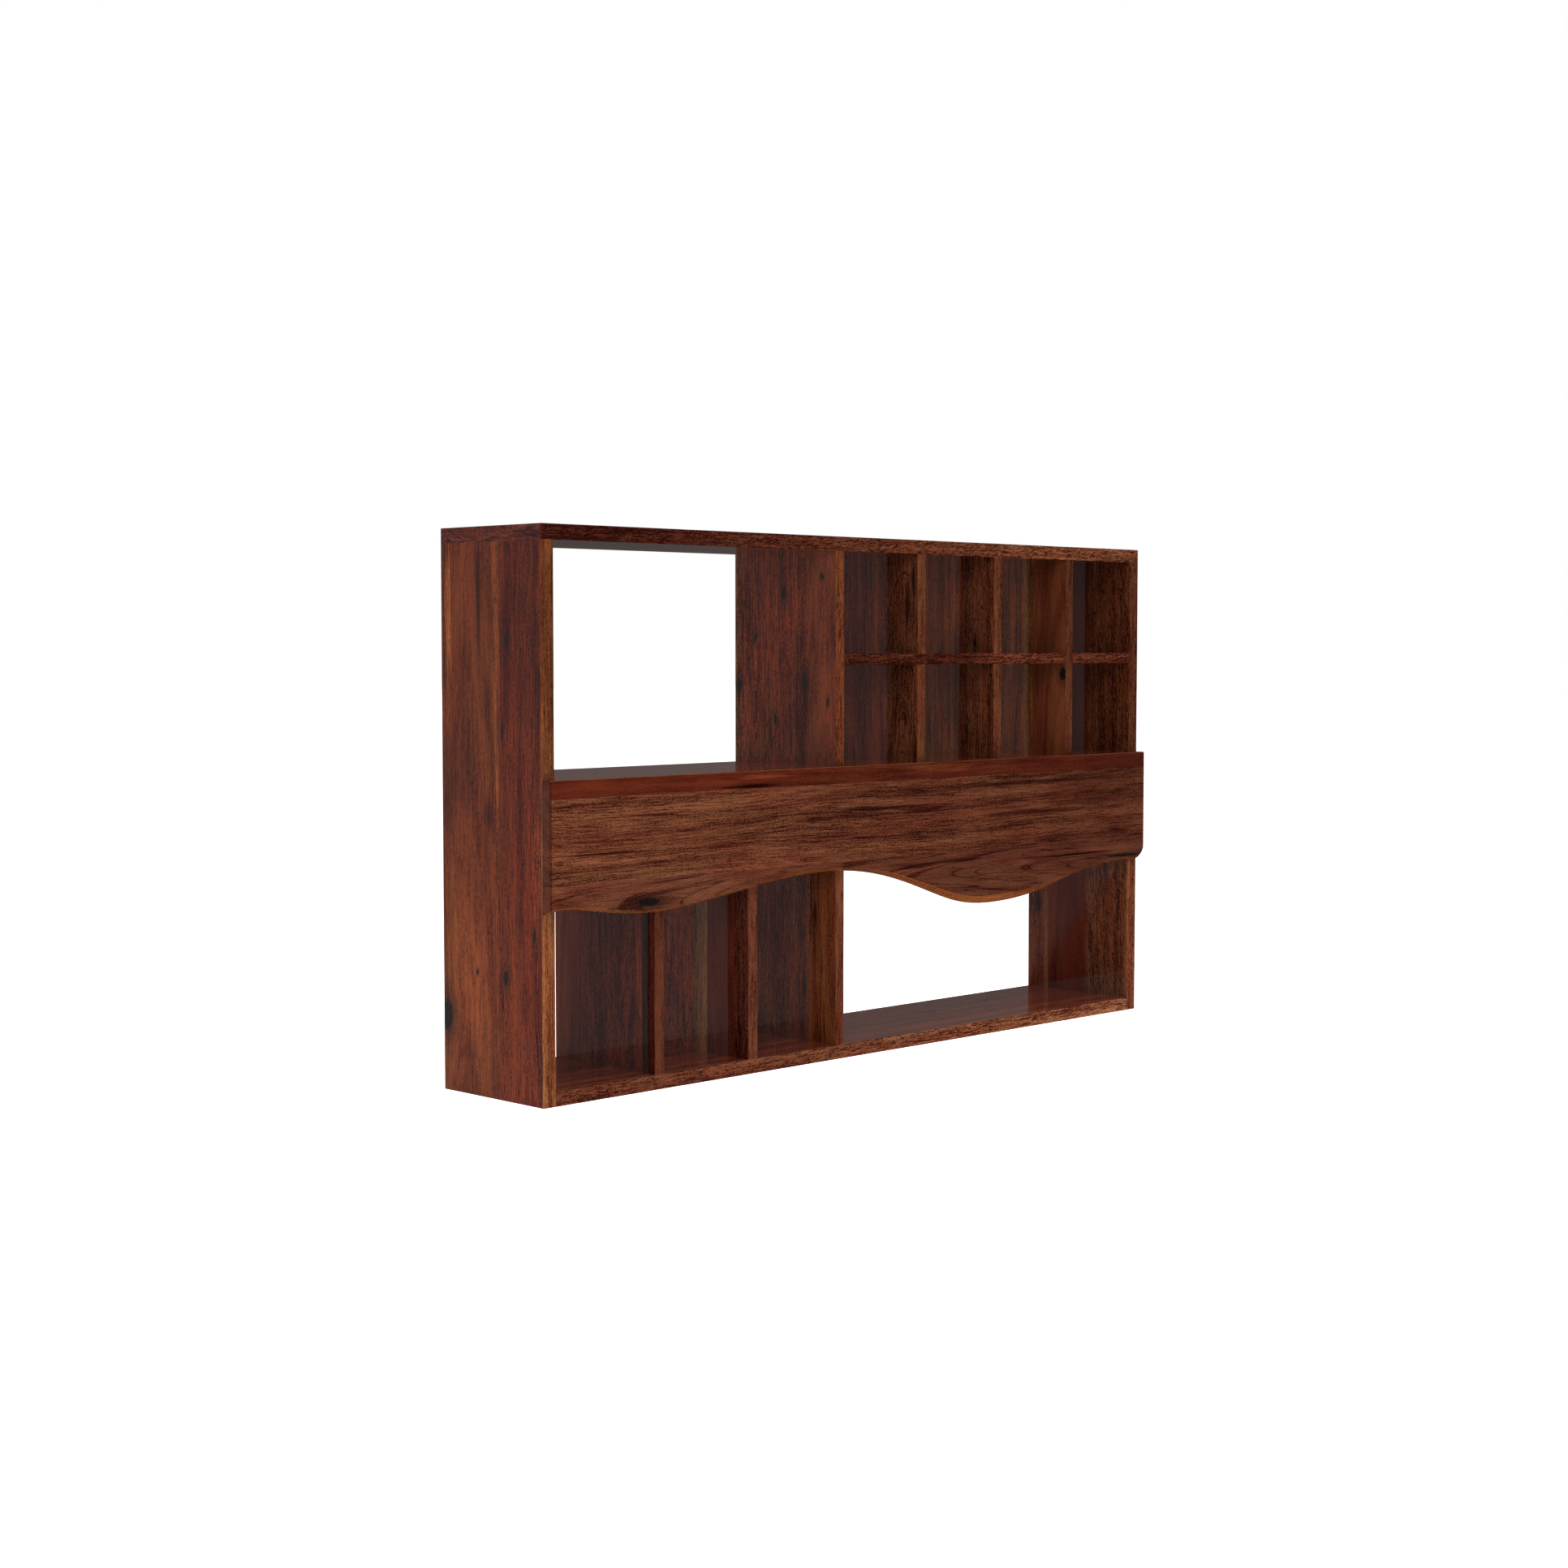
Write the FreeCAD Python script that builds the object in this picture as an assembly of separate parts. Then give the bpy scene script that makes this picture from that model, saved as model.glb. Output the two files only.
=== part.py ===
import FreeCAD, Part
import os

# Open-backed desk hutch of solid hardwood boards, with pigeonholes above and a live-edge apron in front.
# Frame: the origin is the centre of the footprint, on the surface that the hutch stands on.
# +X runs to the right along the width, the open front faces -Y and +Z is up.

# Driving dimensions, in mm
CASE_WIDTH = 1524.0           # over both side panels
CASE_HEIGHT = 914.4
CASE_DEPTH = 254.0            # the boards alone, without the apron
CARCASS_THICKNESS = 25.0      # top, bottom, side panels and middle shelf
DIVIDER_THICKNESS = 20.0      # partitions, dividers and cross shelf
APRON_THICKNESS = 20.0
SHELF_TOP = 515.5             # upper face of the middle shelf
CROSS_SHELF_TOP = 711.2       # upper face of the shelf that crosses the pigeonholes
DIVIDER_PITCH = 212.6         # from the left face of one divider to the next
CENTRE_PARTITION = 660.8      # left face of the centre partitions, from the case's left end
FILE_DIVIDERS = 2             # dividers left of the lower centre partition
PIGEONHOLE_DIVIDERS = 3       # dividers right of the upper centre partition
SHELF_LAPS_IN_FRONT = (True, True, False)   # at each pigeonhole divider, whether the cross shelf shows

# The apron's natural lower edge, from left to right: distance from the apron's left end,
# height of the edge on the front face, and how much lower it is on the back face
LIVE_EDGE = (
    (0.0, 312.0, 8.0),
    (30.0, 316.0, 7.0),
    (127.0, 305.0, 5.0),
    (220.0, 300.0, 7.5),
    (330.0, 308.0, 8.5),
    (470.0, 328.0, 8.5),
    (610.0, 341.0, 8.5),
    (762.0, 327.0, 6.5),
    (889.0, 293.0, 8.5),
    (991.0, 267.0, 13.0),
    (1092.0, 264.0, 17.0),
    (1219.0, 276.0, 16.0),
    (1346.0, 300.0, 11.0),
    (1460.0, 309.0, 7.0),
    (1498.0, 305.0, 3.0),
)
CORNER_MIDDLE = (1514.0, 313.0)   # the arc that rounds the apron's lower right corner goes through here
CORNER_END_HEIGHT = 327.0
APRON_EASE = 3.0                  # radius of the apron's straight arrises
LIVE_EDGE_EASE = 2.0              # radius of the arris along the live edge
CASE_EASE = 1.0                   # radius of the case's arrises, sanded after it was glued up

# Dowelled joints
DOWEL_RADIUS = 4.0
DOWEL_LENGTH = 35.0
DOWEL_IN_FACE = 11.0              # depth in the board whose face is drilled
DOWEL_CHAMFER = 1.0
GLUE_GAP = 0.1                    # clearance round a dowel and past its ends
THREE_ACROSS = (0.16, 0.5, 0.84)  # places of dowels across the depth, as fractions of it
TWO_ACROSS = (0.28, 0.72)
APRON_DOWEL_HEIGHTS = (380.0, 450.0)

# Derived planes
LEFT = -CASE_WIDTH / 2
RIGHT = CASE_WIDTH / 2
APRON_FRONT = -(CASE_DEPTH + APRON_THICKNESS) / 2
FRONT = APRON_FRONT + APRON_THICKNESS
BACK = FRONT + CASE_DEPTH
LEFT_INSIDE = LEFT + CARCASS_THICKNESS
RIGHT_INSIDE = RIGHT - CARCASS_THICKNESS
TOP_UNDERSIDE = CASE_HEIGHT - CARCASS_THICKNESS
BOTTOM_TOP = CARCASS_THICKNESS
SHELF_UNDERSIDE = SHELF_TOP - CARCASS_THICKNESS
CROSS_SHELF_UNDERSIDE = CROSS_SHELF_TOP - DIVIDER_THICKNESS
CENTRE_LEFT = LEFT + CENTRE_PARTITION
CENTRE_RIGHT = CENTRE_LEFT + DIVIDER_THICKNESS

NEAR = 0.01                       # places closer than this are the same

TO_RIGHT = FreeCAD.Vector(1, 0, 0)
TO_LEFT = FreeCAD.Vector(-1, 0, 0)
TO_BACK = FreeCAD.Vector(0, 1, 0)
UP = FreeCAD.Vector(0, 0, 1)
DOWN = FreeCAD.Vector(0, 0, -1)


def board(x_range, z_range, y_range=(FRONT, BACK)):
    """A rectangular board between the given planes, as deep as the case unless told otherwise."""
    corner = FreeCAD.Vector(x_range[0], y_range[0], z_range[0])
    return Part.makeBox(
        x_range[1] - x_range[0],
        y_range[1] - y_range[0],
        z_range[1] - z_range[0],
        corner,
    )


def divider(left_face, z_range):
    """An upright board of divider thickness with its left face at the given place."""
    return board((left_face, left_face + DIVIDER_THICKNESS), z_range)


def live_edge_points(y):
    """Points of the apron's lower edge on its front or its back face."""
    on_back = y == FRONT
    return [
        FreeCAD.Vector(LEFT + along, y, height - (drop if on_back else 0.0))
        for along, height, drop in LIVE_EDGE
    ]


def apron_outline(y):
    """The apron's closed outline at one face: live edge, rounded corner, right end, top and left end."""
    points = live_edge_points(y)
    lowered = LIVE_EDGE[-1][1] - points[-1].z
    corner_middle = FreeCAD.Vector(LEFT + CORNER_MIDDLE[0], y, CORNER_MIDDLE[1] - lowered)
    corner_end = FreeCAD.Vector(RIGHT, y, CORNER_END_HEIGHT - lowered)
    top_right = FreeCAD.Vector(RIGHT, y, SHELF_TOP)
    top_left = FreeCAD.Vector(LEFT, y, SHELF_TOP)
    live_edge = Part.BSplineCurve()
    live_edge.interpolate(points)
    return Part.Wire([
        live_edge.toShape(),
        Part.Arc(points[-1], corner_middle, corner_end).toShape(),
        Part.makeLine(corner_end, top_right),
        Part.makeLine(top_right, top_left),
        Part.makeLine(top_left, points[0]),
    ])


def lies_on(edge, plane_y):
    """Whether all of an edge lies on the plane y = plane_y."""
    return abs(edge.BoundBox.YMin - plane_y) < NEAR and abs(edge.BoundBox.YMax - plane_y) < NEAR


def is_line(edge):
    """Whether an edge is straight."""
    return edge.Curve.TypeId == "Part::GeomLine"


def apron():
    """The board that covers the shelf's front edge, bevelled along its natural lower edge."""
    blank = Part.makeLoft([apron_outline(APRON_FRONT), apron_outline(FRONT)], True, True)
    top_ends = [
        edge for edge in blank.Edges
        if edge.BoundBox.ZMin > SHELF_TOP - NEAR and edge.BoundBox.XLength < NEAR
    ]
    front_lines = [edge for edge in blank.Edges if lies_on(edge, APRON_FRONT) and is_line(edge)]
    eased = blank.makeFillet(APRON_EASE, front_lines + top_ends)
    live_edge = [edge for edge in eased.Edges if lies_on(edge, APRON_FRONT) and not is_line(edge)]
    return eased.makeFillet(LIVE_EDGE_EASE, live_edge)


def across(x, z, fractions):
    """Points on a joint line that runs from front to back, at fractions of the case's depth."""
    return [FreeCAD.Vector(x, FRONT + fraction * CASE_DEPTH, z) for fraction in fractions]


def dowel(point, direction):
    """A chamfered dowel through a joint plane at a point, running along direction into end grain."""
    peg = Part.makeCylinder(DOWEL_RADIUS, DOWEL_LENGTH, point - direction * DOWEL_IN_FACE, direction)
    rims = [edge for edge in peg.Edges if edge.Curve.TypeId == "Part::GeomCircle"]
    return peg.makeChamfer(DOWEL_CHAMFER, rims)


def dowel_hole(point, direction):
    """The space that one dowel and its glue take up."""
    start = point - direction * (DOWEL_IN_FACE + GLUE_GAP)
    return Part.makeCylinder(DOWEL_RADIUS + GLUE_GAP, DOWEL_LENGTH + 2 * GLUE_GAP, start, direction)


def carcass():
    """Top, bottom, sides, middle shelf and the two centre partitions."""
    between_sides = (LEFT_INSIDE, RIGHT_INSIDE)
    return {
        "top_panel": board((LEFT, RIGHT), (TOP_UNDERSIDE, CASE_HEIGHT)),
        "bottom_panel": board(between_sides, (0.0, BOTTOM_TOP)),
        "left_side_panel": board((LEFT, LEFT_INSIDE), (0.0, TOP_UNDERSIDE)),
        "right_side_panel": board((RIGHT_INSIDE, RIGHT), (0.0, TOP_UNDERSIDE)),
        "middle_shelf": board(between_sides, (SHELF_UNDERSIDE, SHELF_TOP)),
        "upper_centre_partition": divider(CENTRE_LEFT, (SHELF_TOP, TOP_UNDERSIDE)),
        "lower_centre_partition": divider(CENTRE_LEFT, (BOTTOM_TOP, SHELF_UNDERSIDE)),
    }


def file_dividers():
    """Node name and left face of each upright in the lower left bay, from left to right."""
    return {
        f"file_divider_{number}": CENTRE_LEFT - (FILE_DIVIDERS + 1 - number) * DIVIDER_PITCH
        for number in range(1, FILE_DIVIDERS + 1)
    }


def pigeonhole_dividers():
    """Node name and left face of each upright among the pigeonholes, from left to right."""
    return {
        f"pigeonhole_divider_{number}": CENTRE_LEFT + number * DIVIDER_PITCH
        for number in range(1, PIGEONHOLE_DIVIDERS + 1)
    }


def pigeonholes():
    """The uprights and the cross shelf, half-lapped into each other like an egg crate."""
    middle = (FRONT + BACK) / 2
    cross_z = (CROSS_SHELF_UNDERSIDE, CROSS_SHELF_TOP)
    cross_shelf = board((CENTRE_RIGHT, RIGHT_INSIDE), cross_z)
    boards = {}
    for (node, left_face), shelf_in_front in zip(pigeonhole_dividers().items(), SHELF_LAPS_IN_FRONT):
        upright = divider(left_face, (SHELF_TOP, TOP_UNDERSIDE))
        crossing_x = (left_face, left_face + DIVIDER_THICKNESS)
        front_half = board(crossing_x, cross_z, (FRONT, middle))
        back_half = board(crossing_x, cross_z, (middle, BACK))
        boards[node] = upright.cut(front_half if shelf_in_front else back_half)
        cross_shelf = cross_shelf.cut(back_half if shelf_in_front else front_half)
    boards["pigeonhole_cross_shelf"] = cross_shelf
    return boards


def eased_case(boards):
    """The glued-up case as one solid, with its front, back and outer corner arrises rounded."""
    case = boards[0].fuse(boards[1:]).removeSplitter()
    corners = [
        edge for edge in case.Edges
        if edge.BoundBox.YLength > CASE_DEPTH / 2
        and abs(edge.CenterOfMass.x) > RIGHT - NEAR
        and not NEAR < edge.CenterOfMass.z < CASE_HEIGHT - NEAR
    ]
    ends = [edge for edge in case.Edges if lies_on(edge, FRONT) or lies_on(edge, BACK)]
    return case.makeFillet(CASE_EASE, corners + ends)


def upright_joints(left_face, lower_z, upper_z, fractions):
    """Dowel places at the foot and the head of an upright board, each with its direction."""
    x = left_face + DIVIDER_THICKNESS / 2
    foot = [(point, UP) for point in across(x, lower_z, fractions)]
    head = [(point, DOWN) for point in across(x, upper_z, fractions)]
    return foot + head


def end_joints(left_x, right_x, z, fractions):
    """Dowel places at both ends of a level board, each with its direction."""
    left = [(point, TO_RIGHT) for point in across(left_x, z, fractions)]
    right = [(point, TO_LEFT) for point in across(right_x, z, fractions)]
    return left + right


def apron_joints():
    """Dowel places behind the apron: in the uprights' front edges and in the shelf's."""
    side_centre = CARCASS_THICKNESS / 2
    upright_x = (LEFT + side_centre, CENTRE_LEFT + DIVIDER_THICKNESS / 2, RIGHT - side_centre)
    points = [FreeCAD.Vector(x, FRONT, z) for x in upright_x for z in APRON_DOWEL_HEIGHTS]
    shelf_middle = (SHELF_TOP + SHELF_UNDERSIDE) / 2
    bays = 1 + round((RIGHT_INSIDE - LEFT_INSIDE) / DIVIDER_PITCH)
    spacing = (RIGHT_INSIDE - LEFT_INSIDE) / bays
    points += [
        FreeCAD.Vector(LEFT_INSIDE + (bay + 0.5) * spacing, FRONT, shelf_middle)
        for bay in range(bays)
    ]
    return [(point, TO_BACK) for point in points]


def dowel_joints():
    """Each dowel node with the places and directions of its dowels."""
    sides = (LEFT + CARCASS_THICKNESS / 2, RIGHT - CARCASS_THICKNESS / 2)
    joints = {
        "top_panel_dowels": [
            (point, DOWN) for x in sides for point in across(x, TOP_UNDERSIDE, THREE_ACROSS)
        ],
        "bottom_panel_dowels": end_joints(
            LEFT_INSIDE, RIGHT_INSIDE, BOTTOM_TOP / 2, THREE_ACROSS
        ),
        "middle_shelf_dowels": end_joints(
            LEFT_INSIDE, RIGHT_INSIDE, (SHELF_TOP + SHELF_UNDERSIDE) / 2, THREE_ACROSS
        ),
        "upper_partition_dowels": upright_joints(CENTRE_LEFT, SHELF_TOP, TOP_UNDERSIDE, THREE_ACROSS),
        "lower_partition_dowels": upright_joints(CENTRE_LEFT, BOTTOM_TOP, SHELF_UNDERSIDE, TWO_ACROSS),
        "cross_shelf_dowels": end_joints(
            CENTRE_RIGHT, RIGHT_INSIDE, (CROSS_SHELF_TOP + CROSS_SHELF_UNDERSIDE) / 2, TWO_ACROSS
        ),
        "pigeonhole_divider_dowels": [],
        "file_divider_dowels": [],
        "apron_dowels": apron_joints(),
    }
    for left_face in pigeonhole_dividers().values():
        joints["pigeonhole_divider_dowels"] += upright_joints(
            left_face, SHELF_TOP, TOP_UNDERSIDE, TWO_ACROSS
        )
    for left_face in file_dividers().values():
        joints["file_divider_dowels"] += upright_joints(
            left_face, BOTTOM_TOP, SHELF_UNDERSIDE, TWO_ACROSS
        )
    return joints


def drilled(shape, holes):
    """A board with every dowel hole that reaches into it."""
    reaching = [hole for hole in holes if hole.BoundBox.intersect(shape.BoundBox)]
    return shape.cut(reaching)


def assembly():
    """Every node's shape by name."""
    boards = carcass()
    boards.update(pigeonholes())
    for node, left_face in file_dividers().items():
        boards[node] = divider(left_face, (BOTTOM_TOP, SHELF_UNDERSIDE))
    case = eased_case(list(boards.values()))
    boards = {node: shape.common(case) for node, shape in boards.items()}
    boards["live_edge_apron"] = apron()
    joints = dowel_joints()
    holes = [dowel_hole(*place) for places in joints.values() for place in places]
    nodes = {node: drilled(shape, holes) for node, shape in boards.items()}
    for node, places in joints.items():
        nodes[node] = Part.makeCompound([dowel(*place) for place in places])
    return nodes


os.makedirs("parts", exist_ok=True)
for node_name, node_shape in assembly().items():
    node_shape.exportStep(f"parts/{node_name}.step")
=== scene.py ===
import math

import bpy
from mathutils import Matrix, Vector


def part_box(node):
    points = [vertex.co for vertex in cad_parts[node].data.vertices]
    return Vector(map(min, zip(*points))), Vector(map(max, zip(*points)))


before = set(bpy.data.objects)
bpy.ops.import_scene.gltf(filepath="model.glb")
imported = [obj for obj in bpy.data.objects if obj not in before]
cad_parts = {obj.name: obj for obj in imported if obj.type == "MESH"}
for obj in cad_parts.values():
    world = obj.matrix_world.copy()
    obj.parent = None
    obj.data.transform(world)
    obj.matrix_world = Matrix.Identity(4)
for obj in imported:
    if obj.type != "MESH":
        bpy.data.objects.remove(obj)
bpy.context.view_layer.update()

# The hutch is made of sheesham boards, each glued up from staves that run along its grain, stained
# a red brown and lacquered. Each board's material works in the board's own place, in metres: along
# the grain, across the board's width from its front (or lowest) edge, and through its thickness.
# Lengths are in metres, except in BOARDS, which is in millimetres.

# ---------------------------------------------------------------- camera, light and floor

CAMERA_AZIMUTH = math.radians(-45.0)
CAMERA_TILT = math.radians(3.18)          # downwards
CAMERA_PLACE = (-3.205, -3.092, 0.723)
LENS = 56.68                              # mm, as is the sensor's width
SENSOR = 36.0

WHITE = (1.0, 1.0, 1.0, 1.0)
FLOOR_WHITE = (0.9, 0.9, 0.9, 1.0)
FLOOR_SIZE = 60.0
FLOOR_GLOW = (1.6, 0.75)                  # under the hutch and far from it
FLOOR_GLOW_REACH = (0.5, 2.6)             # distances between which the glow changes

# How bright the surroundings are, for the light that they give, for the camera and in reflections.
# A direction is a unit vector. FRONT_TO_BACK, HORIZON and LEFT_TO_RIGHT are the parts of it along Y,
# Z and X between which the brightness changes.
WORLD_DIFFUSE = 0.62
WORLD_SEEN = 1.0
WORLD_REFLECTED = (0.035, 0.088)          # in front of the hutch and behind it
FRONT_TO_BACK = (-0.4, 0.4)
WORLD_REFLECTED_BELOW = 0.3               # a factor for what is under the horizon
HORIZON = (-0.12, 0.02)
WORLD_REFLECTED_LEFT = (0.01, 0.25)       # below and above the wall's slanting edge, on the left
LEFT_TO_RIGHT = (-0.6, -0.1)
WALL_EDGE_SLOPE = 1.678                   # the edge is where X * slope + Z + offset is 0
WALL_EDGE_OFFSET = 1.419
WALL_EDGE_BLUR = 0.002
WARM_REFLECTION = (1.22, 1.0, 0.96, 1.0)  # the reflections' tint, except on the left

KEY_PLACE = (-2.8, -3.3, 2.9)
KEY_TARGET = (0.0, 0.0, 0.4)
KEY_SIZE = 2.5
KEY_POWER = 165.0


class Graph:
    """A node tree being built: its methods add nodes and give back what comes out, or link them."""

    def __init__(self, tree):
        self.tree = tree

    def node(self, kind, inputs, **settings):
        """Add a node, set its properties, and fill or link its inputs by name or number."""
        added = self.tree.nodes.new(kind)
        for name, setting in settings.items():
            setattr(added, name, setting)
        for key, value in inputs.items():
            if isinstance(value, bpy.types.NodeSocket):
                self.tree.links.new(value, added.inputs[key])
            else:
                added.inputs[key].default_value = value
        return added

    def link(self, value, socket):
        """Link an output to the input of a node, or of the group that is being built."""
        self.tree.links.new(value, socket)

    def math(self, operation, *values, clamp=False):
        inputs = dict(enumerate(values))
        return self.node("ShaderNodeMath", inputs, operation=operation, use_clamp=clamp).outputs[0]

    def vector_math(self, operation, *values):
        inputs = dict(enumerate(values))
        return self.node("ShaderNodeVectorMath", inputs, operation=operation).outputs[0]

    def length(self, vector):
        return self.node("ShaderNodeVectorMath", {0: vector}, operation="LENGTH").outputs["Value"]

    def dot(self, first, second):
        inputs = {0: first, 1: second}
        return self.node("ShaderNodeVectorMath", inputs, operation="DOT_PRODUCT").outputs["Value"]

    def vector(self, *parts):
        return self.node("ShaderNodeCombineXYZ", dict(enumerate(parts))).outputs[0]

    def parts(self, vector):
        return self.node("ShaderNodeSeparateXYZ", {0: vector}).outputs

    def coordinate(self, kind):
        return self.node("ShaderNodeTexCoord", {}).outputs[kind]

    def noise(self, place, scale, seed, detail=1.0):
        """Noise of 0 to 1 with its own scale, in features a metre, for each direction."""
        spot = self.vector_math("MULTIPLY_ADD", place, scale, seed)
        inputs = {"Vector": spot, "Scale": 1.0, "Detail": detail}
        return self.node("ShaderNodeTexNoise", inputs).outputs[0]

    def span(self, value, low, high, start=0.0, end=1.0):
        """Turn low to high smoothly into start to end, and hold it beyond them."""
        inputs = {0: value, 1: low, 2: high, 3: start, 4: end}
        return self.node("ShaderNodeMapRange", inputs, interpolation_type="SMOOTHSTEP").outputs[0]

    def blend(self, factor, first, second):
        """Mix two colours."""
        return self.node("ShaderNodeMix", {0: factor, 6: first, 7: second}, data_type="RGBA").outputs[2]

    def weigh(self, terms, start):
        """Add up weight * (value - 0.5) for each term, from a start."""
        total = start - sum(weight / 2 for _, weight in terms)
        for value, weight in terms:
            total = self.math("MULTIPLY_ADD", value, weight, total)
        return total

    def steps(self, position, width, stops):
        """The colour of the last stop that the position, in metres, has passed."""
        factor = self.math("DIVIDE", position, width)
        ramp = self.node("ShaderNodeValToRGB", {0: factor})
        ramp.color_ramp.interpolation = "CONSTANT"
        elements = ramp.color_ramp.elements
        while len(elements) > 1:
            elements.remove(elements[-1])
        elements[0].position = 0.0
        elements[0].color = stops[0][1] + (1.0,)
        for place, colour in stops[1:]:
            elements.new(place / width).color = colour + (1.0,)
        return ramp.outputs[0]


def new_group(name, inputs, outputs):
    """An empty node group with named inputs and outputs."""
    tree = bpy.data.node_groups.new(name, "ShaderNodeTree")
    for label, kind in inputs.items():
        tree.interface.new_socket(label, in_out="INPUT", socket_type="NodeSocket" + kind)
    for label, kind in outputs.items():
        tree.interface.new_socket(label, in_out="OUTPUT", socket_type="NodeSocket" + kind)
    given = tree.nodes.new("NodeGroupInput").outputs
    made = tree.nodes.new("NodeGroupOutput").inputs
    return Graph(tree), given, made


def new_material(name):
    """A new material with the graph that builds it and its shader."""
    material = bpy.data.materials.new(name)
    material.use_nodes = True
    return material, Graph(material.node_tree), material.node_tree.nodes["Principled BSDF"]


def make_camera():
    """The camera, off to the left in front and looking slightly down."""
    camera = bpy.data.objects.new("camera", bpy.data.cameras.new("camera"))
    camera.data.lens = LENS
    camera.data.sensor_width = SENSOR
    camera.location = CAMERA_PLACE
    camera.rotation_euler = (math.pi / 2 - CAMERA_TILT, 0.0, CAMERA_AZIMUTH)
    bpy.context.collection.objects.link(camera)
    bpy.context.scene.camera = camera


def make_floor():
    """A plain white floor, wide enough to reach the horizon, that glows most round the hutch."""
    bpy.ops.mesh.primitive_plane_add(size=FLOOR_SIZE)
    floor = bpy.context.object
    floor.name = "floor"
    material, graph, shader = new_material("pale_floor")
    shader.inputs["Base Color"].default_value = FLOOR_WHITE
    shader.inputs["Roughness"].default_value = 1.0
    shader.inputs["Specular IOR Level"].default_value = 0.0
    shader.inputs["Emission Color"].default_value = WHITE
    distance = graph.length(graph.coordinate("Object"))
    glow = graph.span(distance, *FLOOR_GLOW_REACH, *FLOOR_GLOW)
    graph.link(glow, shader.inputs["Emission Strength"])
    floor.data.materials.append(material)
    floor.visible_glossy = False


def make_key_light():
    """One soft square light, high on the camera's side."""
    light = bpy.data.objects.new("key", bpy.data.lights.new("key", "AREA"))
    light.data.size = KEY_SIZE
    light.data.energy = KEY_POWER
    light.location = KEY_PLACE
    aim = Vector(KEY_TARGET) - Vector(KEY_PLACE)
    light.rotation_euler = aim.to_track_quat("-Z", "Y").to_euler()
    light.visible_glossy = False
    bpy.context.collection.objects.link(light)


def make_world():
    """White surroundings, which the lacquer reflects only dimly, as in a darker studio."""
    world = bpy.data.worlds.new("studio")
    world.use_nodes = True
    graph = Graph(world.node_tree)
    path = graph.node("ShaderNodeLightPath", {})
    right, behind, up = graph.parts(graph.coordinate("Generated"))
    reflected = graph.span(behind, *FRONT_TO_BACK, *WORLD_REFLECTED)
    over_floor = graph.span(up, *HORIZON, WORLD_REFLECTED_BELOW, 1.0)
    reflected = graph.math("MULTIPLY", reflected, over_floor)
    from_edge = graph.math("ADD", up, WALL_EDGE_OFFSET)
    from_edge = graph.math("MULTIPLY_ADD", right, WALL_EDGE_SLOPE, from_edge)
    wall = graph.span(from_edge, -WALL_EDGE_BLUR, WALL_EDGE_BLUR, *WORLD_REFLECTED_LEFT)
    reflected = graph.span(right, *LEFT_TO_RIGHT, wall, reflected)
    level = graph.span(path.outputs["Is Glossy Ray"], 0.0, 1.0, WORLD_DIFFUSE, reflected)
    lift = graph.math("MULTIPLY", path.outputs["Is Camera Ray"], WORLD_SEEN - WORLD_DIFFUSE)
    strength = graph.math("ADD", level, lift)
    off_left = graph.span(right, *LEFT_TO_RIGHT)
    warmth = graph.math("MULTIPLY", path.outputs["Is Glossy Ray"], off_left)
    background = world.node_tree.nodes["Background"]
    graph.link(strength, background.inputs["Strength"])
    graph.link(graph.blend(warmth, WHITE, WARM_REFLECTION), background.inputs["Color"])
    bpy.context.scene.world = world
    bpy.context.scene.view_settings.view_transform = "Standard"


# ---------------------------------------------------------------- wood

SKIN = 0.0007                     # how deep the tone of an edge or an end goes
WIDEST = 0.6                      # no board's staves reach further across
APRON_THICKNESS = 0.020

# Factors for a stave's tone, and the colours that don't depend on it
DARKER = (0.30, 0.14, 0.16)
LIGHTER = (1.80, 2.15, 1.95)
REDDER = (1.04, 0.88, 0.90)
MORE_GOLDEN = (1.02, 1.06, 1.02)
PORE = (0.30, 0.22, 0.25)
GOLDEN_WHEN_LIGHTER = (1.0, 1.35, 1.30)   # powers of a streak's strength, for red, green and blue
KNOT_WOOD = (0.006, 0.0035, 0.003, 1.0)
BEECH_DARK = (0.36, 0.21, 0.10, 1.0)
BEECH_LIGHT = (0.62, 0.43, 0.25, 1.0)

# How many features of the noise lie in a metre: along the grain, across it and through the board
WANDER = (2.2, 9.0, 9.0)
RIPPLE = (24.0, 75.0, 75.0)
CLOUDS = (7.0, 26.0, 26.0)
TINTS = (3.0, 16.0, 16.0)
FIBRES = (14.0, 560.0, 560.0)
GRIT = (210.0, 560.0, 560.0)
PORES = (55.0, 560.0, 560.0)
FLECKS = (50.0, 560.0, 0.0)
RING_BANDS = (75.0, 1.2, 0.0)     # out from the heart and along the grain
RING_LINES = (170.0, 2.0, 0.0)
KNOT_RAGGED = (90.0, 260.0, 260.0)
STREAK_RAGGED = (9.0, 170.0, 170.0)
RAYS = (700.0, 700.0, 250.0)      # in beech
BEECH_CLOUDS = (90.0, 90.0, 90.0)

# How far the noise moves the grain aside
WANDER_SWAY = 0.03
RIPPLE_SWAY = 0.003
CURL_SWAY = 0.008
SLANT_SWAY = 0.012
SLANT = (0.95, 0.31, 0.0)         # the way that the strokes in curly wood run
ACROSS_SLANT = (-0.31, 0.95, 0.0)

# Levels of the noise between which a pore, a fleck or a tint comes in, and a vein goes out
PORE_SOFTNESS = (0.57, 0.66)
FLECK_SOFTNESS = (0.53, 0.62)
TINT_SOFTNESS = (0.35, 0.65)
VEIN_SOFTNESS = (0.0, 0.030)      # distances from the middle level

# Where a knot, the halo round it and a streak fade out, in parts of their half length and width
KNOT_RIM = (0.7, 1.15)
KNOT_HALO = (0.8, 2.6)
KNOT_HALO_SHADE = 0.45
STREAK_RIM = (0.35, 1.15)

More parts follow.
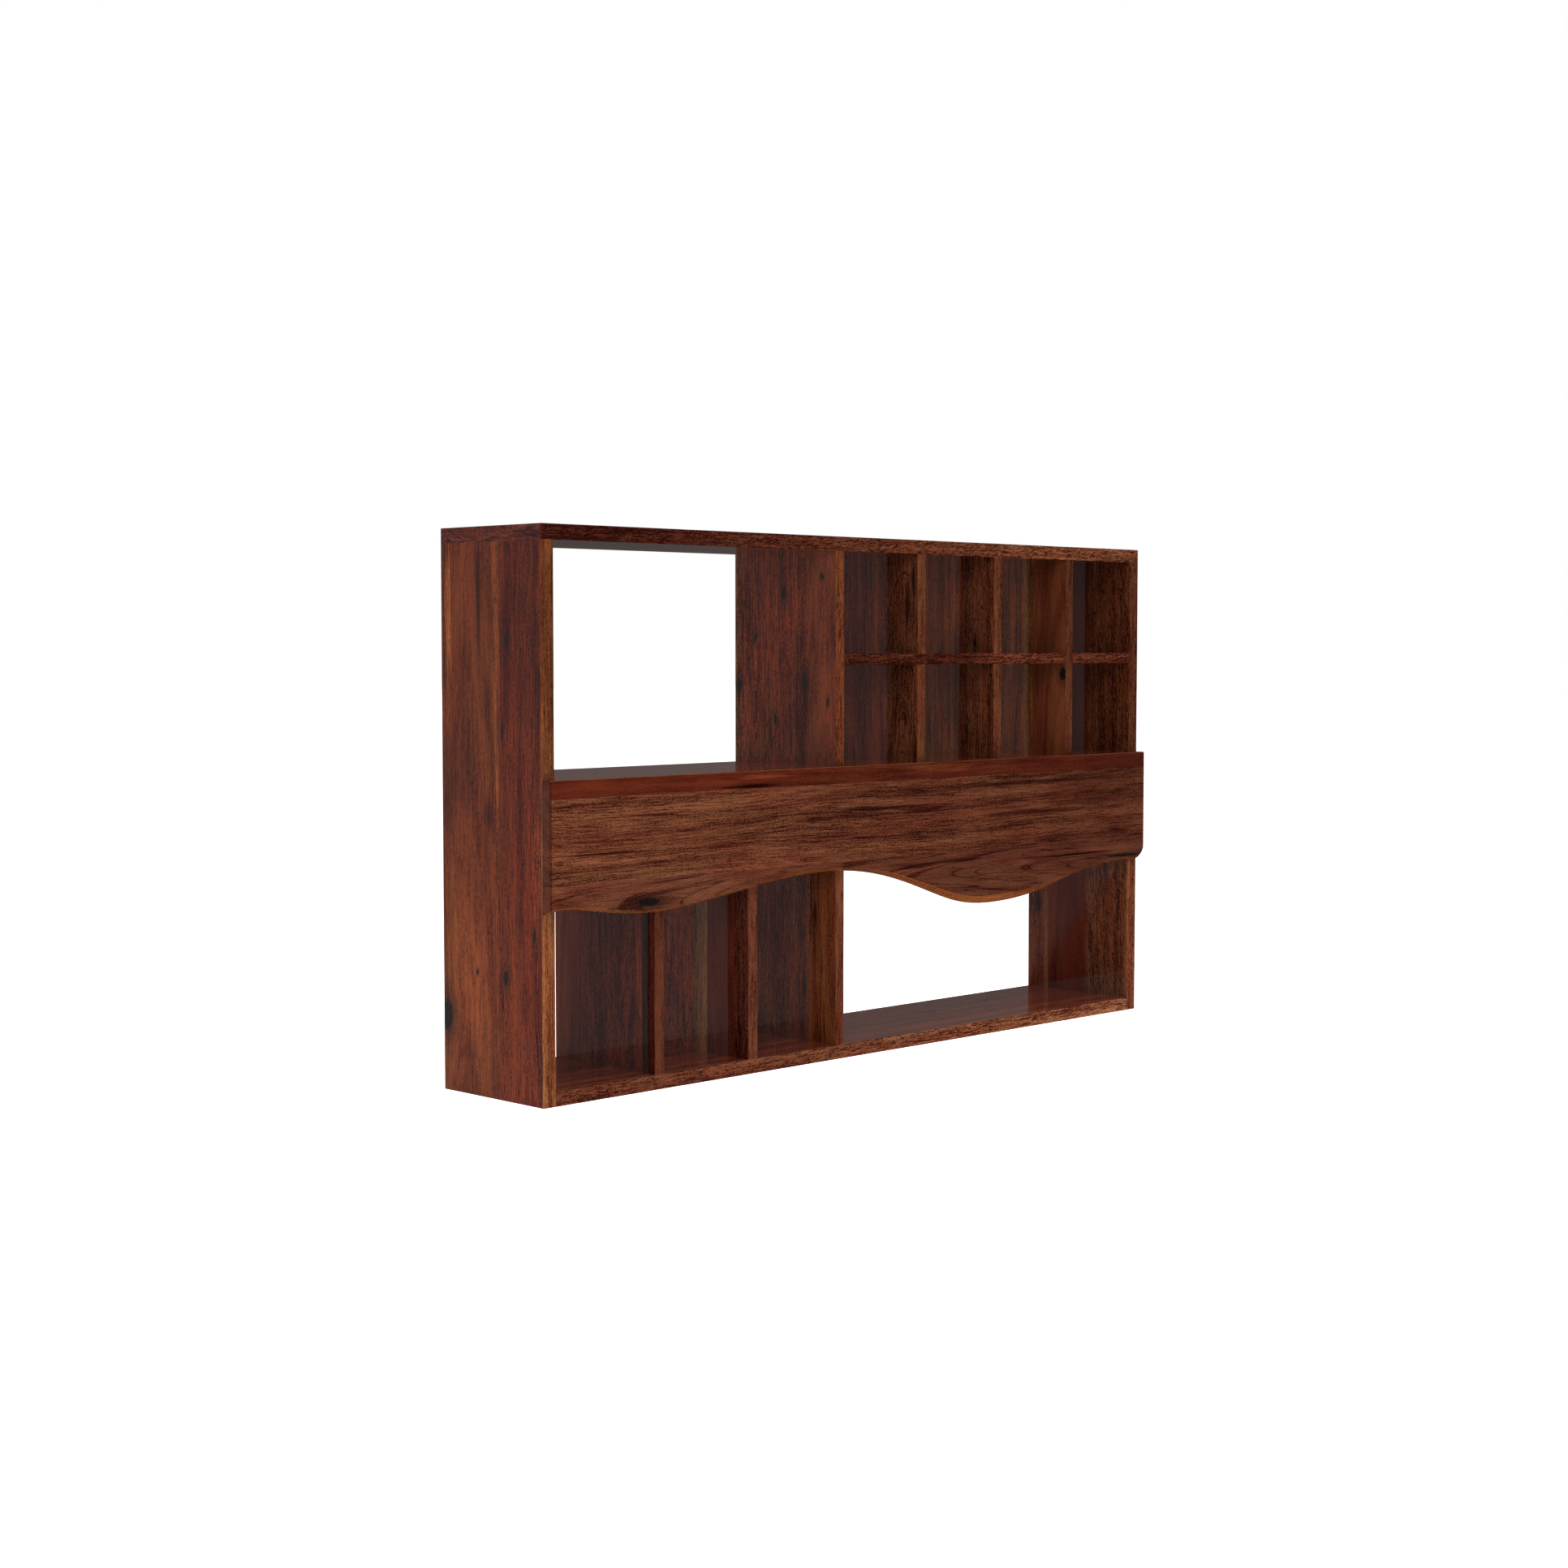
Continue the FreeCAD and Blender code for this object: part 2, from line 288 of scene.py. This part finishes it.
# How much each mark lightens the wood, or darkens it below 0
BAND_LIGHT = 1.4
CLOUD_LIGHT = 0.8
FIBRE_LIGHT = 2.5
GRIT_LIGHT = 1.8
VEIN_LIGHT = -0.45
FLECK_LIGHT = -0.50

# How much each mark stands out or is sunk in, and how much rougher it is
FIBRE_HEIGHT = 0.4
PORE_HEIGHT = -1.0
FLECK_HEIGHT = -0.4
CLOUD_ROUGHNESS = 0.12
FIBRE_ROUGHNESS = 0.06
PORE_ROUGHNESS = 0.15

HEART_SCALE = (0.3, 0.2, 0.4)
HEART_SEED = (97.0, 61.0, 83.0)   # staves with different hearts get different noise
KNOT_FIRMNESS = 0.6               # the larger, the less a knot parts the grain
KNOT_RAGGEDNESS = 0.9
STREAK_RAGGEDNESS = 1.6
GRAIN_RELIEF = 0.00025
GRAIN_BUMP = 0.5
BEECH_RELIEF = 0.0002
BEECH_BUMP = 0.4
WOOD_ROUGHNESS = 0.30
WOOD_SPECULAR = 0.06
LACQUER_ROUGHNESS = 0.04
LACQUER_IOR = 1.45


def wood_group():
    """Sheesham cut from a log: its rings, dark veins, clouds, fibres, pores and curly flecks."""
    inputs = {"Place": "Vector", "Tone": "Color", "Heart": "Vector", "Figure": "Vector"}
    outputs = {"Color": "Color", "Height": "Float", "Roughness": "Float"}
    graph, given, made = new_group("sheesham", inputs, outputs)
    place = given["Place"]
    along, across, through = graph.parts(place)
    heart = graph.vector_math("MULTIPLY", given["Heart"], HEART_SCALE)
    heart_across, heart_depth, lean = graph.parts(heart)
    veins, curl, coarse = graph.parts(given["Figure"])
    seed = graph.vector_math("MULTIPLY", given["Heart"], HEART_SEED)

    # The log's grain wanders a few millimetres, and ripples where the wood is curly.
    wander = graph.noise(place, WANDER, seed)
    ripple = graph.noise(place, RIPPLE, seed)
    sway = graph.weigh([(wander, WANDER_SWAY), (ripple, RIPPLE_SWAY)], 0.0)
    curl_sway = graph.math("MULTIPLY", graph.weigh([(ripple, CURL_SWAY)], 0.0), curl)
    bent = graph.math("ADD", graph.math("ADD", across, sway), curl_sway)
    aside = graph.math("SUBTRACT", bent, heart_across)
    slope = graph.math("SUBTRACT", lean, HEART_SCALE[2] / 2)
    lean_here = graph.math("MULTIPLY_ADD", slope, along, heart_depth)
    below = graph.math("ADD", through, lean_here)
    ring = graph.length(graph.vector(aside, below, 0.0))

    rings = graph.vector(ring, along, 0.0)
    bands = graph.noise(rings, RING_BANDS, seed, 2.0)
    lines = graph.noise(rings, RING_LINES, seed)
    from_line = graph.math("ABSOLUTE", graph.math("SUBTRACT", lines, 0.5))
    vein = graph.math("MULTIPLY", graph.span(from_line, *VEIN_SOFTNESS, 1.0, 0.0), veins)
    cloud = graph.noise(place, CLOUDS, seed, 3.0)
    grain = graph.vector(along, bent, through)
    fibres = graph.noise(grain, FIBRES, seed, 3.0)
    grit = graph.noise(grain, GRIT, seed)
    pores = graph.span(graph.noise(grain, PORES, seed), *PORE_SOFTNESS)

    # Curly wood shows short strokes at a slant to the grain.
    aslant = graph.weigh([(ripple, SLANT_SWAY)], 0.0)
    side = graph.math("ADD", graph.math("ADD", across, through), aslant)
    stroke = graph.vector(along, side, 0.0)
    fleck_place = graph.vector(graph.dot(stroke, SLANT), graph.dot(stroke, ACROSS_SLANT), 0.0)
    flecks = graph.span(graph.noise(fleck_place, FLECKS, seed), *FLECK_SOFTNESS)
    fleck = graph.math("MULTIPLY", flecks, curl)

    light = graph.weigh([(bands, BAND_LIGHT), (cloud, CLOUD_LIGHT)], 0.5)
    texture = graph.weigh([(fibres, FIBRE_LIGHT), (grit, GRIT_LIGHT)], 0.0)
    light = graph.math("MULTIPLY_ADD", texture, coarse, light)
    light = graph.math("MULTIPLY_ADD", vein, VEIN_LIGHT, light)
    light = graph.math("MULTIPLY_ADD", fleck, FLECK_LIGHT, light, clamp=True)
    tint = graph.span(graph.noise(place, TINTS, seed, 2.0), *TINT_SOFTNESS)
    redder = graph.vector_math("MULTIPLY", given["Tone"], REDDER)
    golden = graph.vector_math("MULTIPLY", given["Tone"], MORE_GOLDEN)
    tone = graph.blend(tint, redder, golden)
    dark_tone = graph.vector_math("MULTIPLY", tone, DARKER)
    light_tone = graph.vector_math("MULTIPLY", tone, LIGHTER)
    colour = graph.blend(light, dark_tone, light_tone)
    pored = graph.vector_math("MULTIPLY", colour, PORE)
    colour = graph.blend(graph.math("MULTIPLY", pores, coarse), colour, pored)

    height = graph.weigh([(fibres, FIBRE_HEIGHT), (pores, PORE_HEIGHT)], 0.5)
    height = graph.math("MULTIPLY_ADD", fleck, FLECK_HEIGHT, height)
    rougher = [(cloud, CLOUD_ROUGHNESS), (fibres, FIBRE_ROUGHNESS), (pores, PORE_ROUGHNESS)]
    roughness = graph.weigh(rougher, WOOD_ROUGHNESS)
    graph.link(colour, made["Color"])
    graph.link(height, made["Height"])
    graph.link(roughness, made["Roughness"])
    return graph.tree


def knot_group():
    """A knot: it parts the grain round itself, and is dark inside."""
    inputs = {"Place": "Vector", "Middle": "Vector", "Reach": "Vector"}
    graph, given, made = new_group("knot", inputs, {"Place": "Vector", "Shade": "Float"})
    offset = graph.vector_math("SUBTRACT", given["Place"], given["Middle"])
    distance = graph.length(graph.vector_math("DIVIDE", offset, given["Reach"]))
    square = graph.math("MULTIPLY", distance, distance)
    push = graph.math("DIVIDE", 1.0, graph.math("ADD", square, KNOT_FIRMNESS))
    _, side, _ = graph.parts(offset)
    shift = graph.math("MULTIPLY", side, push)
    moved = graph.vector_math("SUBTRACT", given["Place"], graph.vector(0.0, shift, 0.0))
    ragged = graph.noise(given["Place"], KNOT_RAGGED, (0.0, 0.0, 0.0), 2.0)
    rim = graph.math("ADD", distance, graph.weigh([(ragged, KNOT_RAGGEDNESS)], 0.0))
    graph.link(moved, made["Place"])
    halo = graph.span(distance, *KNOT_HALO, KNOT_HALO_SHADE, 0.0)
    shade = graph.math("MAXIMUM", halo, graph.span(rim, *KNOT_RIM, 1.0, 0.0))
    graph.link(shade, made["Shade"])
    return graph.tree


def streak_group():
    """A long soft streak of lighter or darker wood, as a factor for the tone."""
    inputs = {"Place": "Vector", "Middle": "Vector", "Reach": "Vector", "Strength": "Float"}
    graph, given, made = new_group("streak", inputs, {"Factor": "Float"})
    offset = graph.vector_math("SUBTRACT", given["Place"], given["Middle"])
    distance = graph.length(graph.vector_math("DIVIDE", offset, given["Reach"]))
    ragged = graph.noise(given["Place"], STREAK_RAGGED, (3.0, 0.0, 0.0), 3.0)
    rim = graph.math("ADD", distance, graph.weigh([(ragged, STREAK_RAGGEDNESS)], 0.0))
    change = graph.math("SUBTRACT", given["Strength"], 1.0)
    inside = graph.span(rim, *STREAK_RIM, 1.0, 0.0)
    graph.link(graph.math("MULTIPLY_ADD", change, inside, 1.0), made["Factor"])
    return graph.tree


def own_place(graph, axes, corner):
    """The board's own place, from its corner; axes names its along, across and through."""
    from_corner = graph.vector_math("SUBTRACT", graph.coordinate("Object"), corner)
    inside = graph.parts(from_corner)
    return graph.vector(*[inside["XYZ".index(axis)] for axis in axes])


def skinned(graph, place, skin, length):
    """1 on the board's ends, or on the rim between its two faces, and 0 elsewhere."""
    along, _, through = graph.parts(place)
    if skin == "ends":
        off_middle = graph.math("ABSOLUTE", graph.math("SUBTRACT", along, length / 2))
        return graph.math("GREATER_THAN", off_middle, length / 2 - SKIN)
    off_middle = graph.math("ABSOLUTE", graph.math("SUBTRACT", through, APRON_THICKNESS / 2))
    return graph.math("LESS_THAN", off_middle, APRON_THICKNESS / 2 - SKIN)


def placed_group(graph, tree, place, spot):
    """A knot or streak at its spot: (along, across, half length, half width) in mm."""
    marked = graph.node("ShaderNodeGroup", {}, node_tree=tree)
    along, across, half_length, half_width = [distance / 1000 for distance in spot[:4]]
    graph.link(place, marked.inputs["Place"])
    marked.inputs["Middle"].default_value = (along, across, 0.0)
    marked.inputs["Reach"].default_value = (half_length, half_width, 1.0)
    return marked


def dress(graph, shader, colour, roughness, relief):
    """Give a shader its colour, its roughness and its fine relief, the inputs of a bump node."""
    bump = graph.node("ShaderNodeBump", relief)
    graph.link(colour, shader.inputs["Base Color"])
    graph.link(roughness, shader.inputs["Roughness"])
    graph.link(bump.outputs["Normal"], shader.inputs["Normal"])


def board_wood(name, axes, corner, length, staves, knots=(), streaks=(), painted_light_and_tone_fade=(1.0, 1.0), skin=None):
    """A board's lacquered wood. Staves are (start, tone, heart, figure) across the board, in mm.

    Knots are (along, across, half length, half width) in mm, and streaks have a strength too, which
    darkens below 1 and lightens above it. The fade scales the tone from the board's start to its end;
    on the side panels it is painted light, lighter at the bottom and darker at the top. A skin gives
    the board's ends or its rim their own (tone, figure).
    """
    material, graph, shader = new_material(name)
    place = own_place(graph, axes, corner)
    along, across, through = graph.parts(place)
    beyond_edge = graph.math("GREATER_THAN", across, SKIN)

    dark = 0.0
    # The tone is scaled along the board from its start to its end; on the side panels this is painted
    # light, lighter at the bottom and darker at the top.
    strength = graph.span(along, 0.0, length, *painted_light_and_tone_fade)
    for spot in streaks:
        streak = placed_group(graph, STREAK, place, spot)
        streak.inputs["Strength"].default_value = spot[4]
        strength = graph.math("MULTIPLY", streak.outputs["Factor"], strength)
    for spot in knots:
        knot = placed_group(graph, KNOT, place, spot)
        place = knot.outputs["Place"]
        dark = graph.math("MAXIMUM", knot.outputs["Shade"], dark)

    tone = graph.steps(across, WIDEST, [(start / 1000, colour) for start, colour, _, _ in staves])
    heart = graph.steps(across, WIDEST, [(start / 1000, middle) for start, _, middle, _ in staves])
    figure = graph.steps(across, WIDEST, [(start / 1000, marks) for start, _, _, marks in staves])
    if skin:
        where, skin_tone, skin_figure = skin
        on_skin = skinned(graph, place, where, length)
        tone = graph.blend(on_skin, tone, skin_tone + (1.0,))
        figure = graph.blend(on_skin, figure, skin_figure + (1.0,))
        if where == "ends":
            place = graph.blend(on_skin, place, graph.vector(across, through, along))
    lifts = [graph.math("POWER", strength, power) for power in GOLDEN_WHEN_LIGHTER]
    tone = graph.vector_math("MULTIPLY", tone, graph.vector(*lifts))

    wood = graph.node("ShaderNodeGroup", {}, node_tree=SHEESHAM)
    for label, value in (("Place", place), ("Tone", tone), ("Heart", heart), ("Figure", figure)):
        graph.link(value, wood.inputs[label])
    dark = graph.math("MULTIPLY", dark, beyond_edge)
    colour = graph.blend(dark, wood.outputs["Color"], KNOT_WOOD)
    relief = {"Strength": GRAIN_BUMP, "Distance": GRAIN_RELIEF, "Height": wood.outputs["Height"]}
    dress(graph, shader, colour, wood.outputs["Roughness"], relief)
    shader.inputs["Specular IOR Level"].default_value = WOOD_SPECULAR
    shader.inputs["Coat Weight"].default_value = 1.0
    shader.inputs["Coat Roughness"].default_value = LACQUER_ROUGHNESS
    shader.inputs["Coat IOR"].default_value = LACQUER_IOR
    return material


def beech_wood():
    """Pale beech for the dowels, with short rays."""
    material, graph, shader = new_material("beech")
    place = graph.coordinate("Object")
    rays = graph.noise(place, RAYS, (0.0, 0.0, 0.0), 2.0)
    clouds = graph.noise(place, BEECH_CLOUDS, (5.0, 5.0, 5.0), 2.0)
    mixed = graph.weigh([(rays, 1.2), (clouds, 0.8)], 0.5)
    colour = graph.blend(mixed, BEECH_DARK, BEECH_LIGHT)
    roughness = graph.span(rays, 0.2, 0.8, 0.45, 0.65)
    relief = {"Strength": BEECH_BUMP, "Distance": BEECH_RELIEF, "Height": rays}
    dress(graph, shader, colour, roughness, relief)
    return material


# ---------------------------------------------------------------- the boards' staves

# A figure gives the strength of dark veins, the curl, and how coarse the fibres and pores are.
PLAIN = (0.25, 0.05, 0.55)
STREAKED = (0.6, 0.25, 0.9)
VEINED = (1.0, 0.10, 0.6)
CURLY = (0.5, 0.8, 0.9)
SMOOTH = (0.2, 0.0, 0.35)
ARCHED = (1.0, 0.30, 0.8)
LOBED = (1.0, 0.0, 0.5)
LINED = (0.7, 0.0, 0.85)
CHOPPY = (0.2, 1.0, 0.9)
CHIPPED = (0.3, 0.45, 0.9)

# A heart gives where the middle of the log lay: how far across the board, how deep behind it, and
# how much it leaned, each from 0 to 1.
QUARTERED = (1.0, 0.25, 0.55)
QUARTERED_FAR = (0.95, 0.6, 0.45)
RIFT = (0.05, 0.15, 0.5)

# The frame's axes that run along the grain, across the board and through its thickness
UPRIGHT = "ZYX"
LEVEL = "XYZ"
FACING = "XZY"

# A stave that starts here, in mm, lies behind the front edge, which has the first stave's tone.
BEHIND_EDGE = 1000 * SKIN

BOARDS = {
    "left_side_panel": {
        "axes": UPRIGHT,
        "staves": [
            (0.0, (0.103, 0.030, 0.011), (0.02, 0.30, 0.52), PLAIN),
            (BEHIND_EDGE, (0.064, 0.008, 0.002), (0.90, 0.20, 0.47), STREAKED),
            (103.0, (0.073, 0.013, 0.003), (0.66, 0.35, 0.62), PLAIN),
        ],
        "knots": [
            (124.0, 245.0, 30.0, 16.0),
            (197.0, 94.0, 14.0, 7.0),
            (731.0, 88.0, 13.0, 4.0),
            (269.0, 22.0, 12.0, 4.0),
            (201.0, 166.0, 5.0, 3.0),
            (590.0, 99.0, 12.0, 3.0),
        ],
        "streaks": [
            # The first two streaks, along the front edge, are painted light: darker high up and lighter
            # low down.
            (760.0, 0.0, 300.0, 4.0, 0.82),
            (130.0, 0.0, 250.0, 4.0, 1.15),
            (780.0, 114.0, 270.0, 12.0, 1.75),
            (420.0, 114.0, 160.0, 10.0, 1.5),
            (800.0, 157.0, 110.0, 7.0, 0.4),
            (775.0, 236.0, 110.0, 10.0, 2.5),
            (700.0, 205.0, 60.0, 20.0, 0.8),
            (520.0, 235.0, 90.0, 45.0, 0.7),
            (455.0, 134.0, 35.0, 14.0, 0.5),
            (620.0, 136.0, 60.0, 9.0, 0.6),
            (720.0, 88.0, 160.0, 16.0, 0.6),
            (650.0, 20.0, 130.0, 24.0, 0.72),
            (380.0, 12.0, 110.0, 12.0, 1.6),
            (190.0, 180.0, 150.0, 70.0, 1.25),
        ],
        # Painted light: the panel's tone is lighter at the bottom and darker at the top, where less
        # light falls.
        "painted_light_and_tone_fade": (1.22, 0.93),
    },
    "right_side_panel": {
        "axes": UPRIGHT,
        "staves": [
            (0.0, (0.088, 0.023, 0.010), (0.10, 0.40, 0.50), STREAKED),
            (BEHIND_EDGE, (0.059, 0.015, 0.006), (0.80, 0.10, 0.52), CURLY),
            (104.0, (0.041, 0.005, 0.002), (0.45, 0.50, 0.58), SMOOTH),
            (200.0, (0.085, 0.024, 0.010), QUARTERED, PLAIN),
            (213.0, (0.063, 0.010, 0.003), (0.80, 0.45, 0.40), STREAKED),
        ],
        "knots": [(198.0, 227.0, 12.0, 5.0)],
        # Painted light: the panel's tone is lighter at the bottom and darker at the top, where less
        # light falls.
        "painted_light_and_tone_fade": (1.12, 0.85),
        "streaks": [
            # The two streaks along the front edge are painted light: darker high up and lighter low
            # down.
            (760.0, 0.0, 300.0, 4.0, 0.78),
            (130.0, 0.0, 250.0, 4.0, 1.2),
        ],
    },
    "upper_centre_partition": {
        "axes": UPRIGHT,
        "staves": [
            (0.0, (0.074, 0.017, 0.006), (0.30, 0.10, 0.55), STREAKED),
            (BEHIND_EDGE, (0.087, 0.015, 0.005), (0.12, 0.42, 0.66), PLAIN),
            (68.0, (0.081, 0.013, 0.004), QUARTERED_FAR, STREAKED),
            (238.0, (0.082, 0.024, 0.008), RIFT, STREAKED),
        ],
        "knots": [
            (143.0, 76.0, 14.0, 6.0),
            (300.0, 130.0, 12.0, 4.0),
            (80.0, 150.0, 12.0, 4.0),
            (225.0, 200.0, 10.0, 4.0),
            (330.0, 35.0, 6.0, 4.0),
            (110.0, 22.0, 8.0, 3.0),
            (140.0, 240.0, 12.0, 6.0),
        ],
    },
    "lower_centre_partition": {
        "axes": UPRIGHT,
        "staves": [
            (0.0, (0.076, 0.021, 0.010), (0.25, 0.20, 0.45), PLAIN),
            (BEHIND_EDGE, (0.073, 0.018, 0.006), (0.30, 0.14, 0.58), VEINED),
            (63.5, (0.055, 0.009, 0.003), QUARTERED, STREAKED),
        ],
        "knots": [(92.0, 78.0, 14.0, 4.0)],
    },
    "pigeonhole_divider_1": {
        "axes": UPRIGHT,
        "staves": [
            (0.0, (0.079, 0.022, 0.009), (0.40, 0.15, 0.50), PLAIN),
            (BEHIND_EDGE, (0.063, 0.016, 0.007), (0.13, 0.10, 0.92), ARCHED),
            (81.0, (0.083, 0.013, 0.005), QUARTERED, VEINED),
        ],
        "knots": [(325.0, 12.0, 30.0, 3.0), (275.0, 26.0, 32.0, 3.0), (75.0, 30.0, 14.0, 2.0)],
    },
    "pigeonhole_divider_2": {
        "axes": UPRIGHT,
        "staves": [
            (0.0, (0.091, 0.025, 0.011), (0.35, 0.25, 0.55), PLAIN),
            (BEHIND_EDGE, (0.058, 0.016, 0.007), (0.95, 0.12, 0.42), CURLY),
            (80.0, (0.097, 0.020, 0.005), QUARTERED_FAR, VEINED),
        ],
        "knots": [(215.0, 48.0, 12.0, 4.0)],
    },
    "pigeonhole_divider_3": {
        "axes": UPRIGHT,
        "staves": [
            (0.0, (0.069, 0.018, 0.008), (0.45, 0.20, 0.46), PLAIN),
            (BEHIND_EDGE, (0.074, 0.017, 0.007), (0.02, 0.20, 0.70), SMOOTH),
            (81.0, (0.093, 0.029, 0.008), QUARTERED, PLAIN),
            (101.0, (0.100, 0.022, 0.006), (0.90, 0.50, 0.44), VEINED),
        ],
        "knots": [(155.0, 8.0, 15.0, 9.0)],
    },
    "pigeonhole_cross_shelf": {
        "axes": LEVEL,
        "staves": [
            (0.0, (0.060, 0.014, 0.006), (0.20, 0.20, 0.50), CHOPPY),
            (BEHIND_EDGE, (0.077, 0.019, 0.007), QUARTERED, PLAIN),
            (95.0, (0.063, 0.014, 0.006), RIFT, STREAKED),
        ],
        "painted_light_and_tone_fade": (0.8, 1.4),
        "streaks": [
            (300.0, 0.0, 100.0, 4.0, 0.75),
        ],
    },
    "file_divider_1": {
        "axes": UPRIGHT,
        "staves": [
            (0.0, (0.047, 0.011, 0.006), (0.35, 0.30, 0.53), PLAIN),
            (BEHIND_EDGE, (0.032, 0.004, 0.002), (0.24, 0.30, 0.52), STREAKED),
            (14.0, (0.021, 0.003, 0.002), (0.22, 0.12, 0.45), CURLY),
            (32.0, (0.060, 0.009, 0.003), (0.92, 0.22, 0.56), STREAKED),
            (183.0, (0.073, 0.011, 0.004), (0.30, 0.60, 0.62), SMOOTH),
        ],
    },
    "file_divider_2": {
        "axes": UPRIGHT,
        "staves": [
            (0.0, (0.081, 0.025, 0.013), (0.30, 0.24, 0.47), PLAIN),
            (BEHIND_EDGE, (0.041, 0.009, 0.005), (0.25, 0.14, 0.60), CURLY),
            (33.0, (0.046, 0.007, 0.003), (0.60, 0.55, 0.60), SMOOTH),
            (102.0, (0.097, 0.032, 0.013), QUARTERED, PLAIN),
            (136.0, (0.092, 0.014, 0.005), QUARTERED_FAR, STREAKED),
        ],
    },
    "top_panel": {
        "axes": LEVEL,
        "staves": [
            (0.0, (0.070, 0.018, 0.008), (0.15, 0.25, 0.52), CHOPPY),
            (BEHIND_EDGE, (0.072, 0.020, 0.009), (0.40, 0.30, 0.56), PLAIN),
            (70.0, (0.063, 0.014, 0.008), QUARTERED, STREAKED),
            (160.0, (0.076, 0.020, 0.009), RIFT, PLAIN),
        ],
        "painted_light_and_tone_fade": (0.55, 1.5),
        "skin": ("ends", (0.104, 0.019, 0.008), CHOPPY),
        "streaks": [
            (1350.0, 0.0, 330.0, 4.0, 1.18),
        ],
    },
    "bottom_panel": {
        "axes": LEVEL,
        "staves": [
            (0.0, (0.119, 0.036, 0.017), (0.20, 0.30, 0.50), CHIPPED),
            (BEHIND_EDGE, (0.170, 0.048, 0.016), (0.10, 0.20, 0.54), VEINED),
            (13.0, (0.170, 0.029, 0.011), (0.30, 0.35, 0.53), PLAIN),
            (63.5, (0.125, 0.021, 0.008), QUARTERED, STREAKED),
        ],
        "knots": [(1060.0, 150.0, 26.0, 6.0), (1245.0, 175.0, 30.0, 6.0)],
        "painted_light_and_tone_fade": (0.85, 1.15),
        "streaks": [
            (250.0, 0.0, 450.0, 4.0, 0.76),
            (300.0, 22.0, 600.0, 5.0, 0.45),
            (300.0, 60.0, 500.0, 9.0, 0.55),
            (250.0, 130.0, 450.0, 18.0, 0.45),
            (450.0, 95.0, 350.0, 8.0, 1.5),
            (250.0, 180.0, 350.0, 9.0, 0.6),
            (1300.0, 0.0, 450.0, 4.0, 1.25),
        ],
    },
    "middle_shelf": {
        "axes": LEVEL,
        # Its tones are much lighter than the other boards': partly the shelf's own red wood, partly
        # painted light on its top face.
        "staves": [
            (0.0, (0.190, 0.032, 0.012), (0.25, 0.30, 0.50), STREAKED),
            (90.0, (0.180, 0.030, 0.011), QUARTERED, PLAIN),
            (180.0, (0.190, 0.034, 0.013), RIFT, STREAKED),
        ],
    },
    "live_edge_apron": {
        "axes": FACING,
        "staves": [
            (0.0, (0.064, 0.017, 0.009), (0.20, 0.40, 0.375), LOBED),
            (101.0, (0.069, 0.019, 0.009), (0.85, 0.16, 0.53), LINED),
            (237.0, (0.052, 0.008, 0.003), (0.30, 0.40, 0.54), SMOOTH),
        ],
        "knots": [(204.0, 65.5, 27.0, 7.0), (1455.0, 67.0, 60.0, 3.0)],
        "streaks": [
            (0.0, 140.0, 3.0, 500.0, 0.3),
            (210.0, 66.0, 75.0, 16.0, 0.6),
            (435.0, 243.0, 70.0, 3.5, 0.15),
            (460.0, 259.0, 70.0, 5.0, 2.0),
            (905.0, 257.0, 110.0, 8.0, 2.3),
            (210.0, 206.0, 60.0, 3.0, 0.3),
            (110.0, 149.0, 150.0, 2.5, 0.25),
            (110.0, 138.0, 220.0, 6.0, 1.15),
            (700.0, 130.0, 330.0, 14.0, 1.2),
            (640.0, 181.0, 120.0, 5.0, 0.45),
            (760.0, 192.0, 150.0, 4.0, 0.4),
            (1190.0, 166.0, 190.0, 6.0, 0.4),
            (1330.0, 178.0, 150.0, 7.0, 0.5),
            (1350.0, 190.0, 140.0, 10.0, 0.65),
            (1100.0, 222.0, 420.0, 4.0, 0.55),
            (1400.0, 215.0, 200.0, 25.0, 0.75),
            (970.0, 86.0, 60.0, 4.0, 0.3),
            (860.0, 84.0, 60.0, 6.0, 0.45),
            (1300.0, 78.0, 150.0, 3.0, 0.3),
            (1180.0, 50.0, 380.0, 60.0, 1.15),
        ],
        "painted_light_and_tone_fade": (1.15, 0.85),
        "skin": ("rim", (0.135, 0.038, 0.012), SMOOTH),
    },
}


def finish_boards():
    """Give every board its own wood, and every dowel beech."""
    beech = beech_wood()
    for name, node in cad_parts.items():
        finish = beech
        if name in BOARDS:
            low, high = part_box(name)
            board = BOARDS[name]
            length = (high - low)["XYZ".index(board["axes"][0])]
            finish = board_wood(name + "_wood", corner=low, length=length, **board)
        for slot in node.material_slots:
            slot.material = finish


make_camera()
make_floor()
make_key_light()
make_world()
SHEESHAM = wood_group()
KNOT = knot_group()
STREAK = streak_group()
finish_boards()
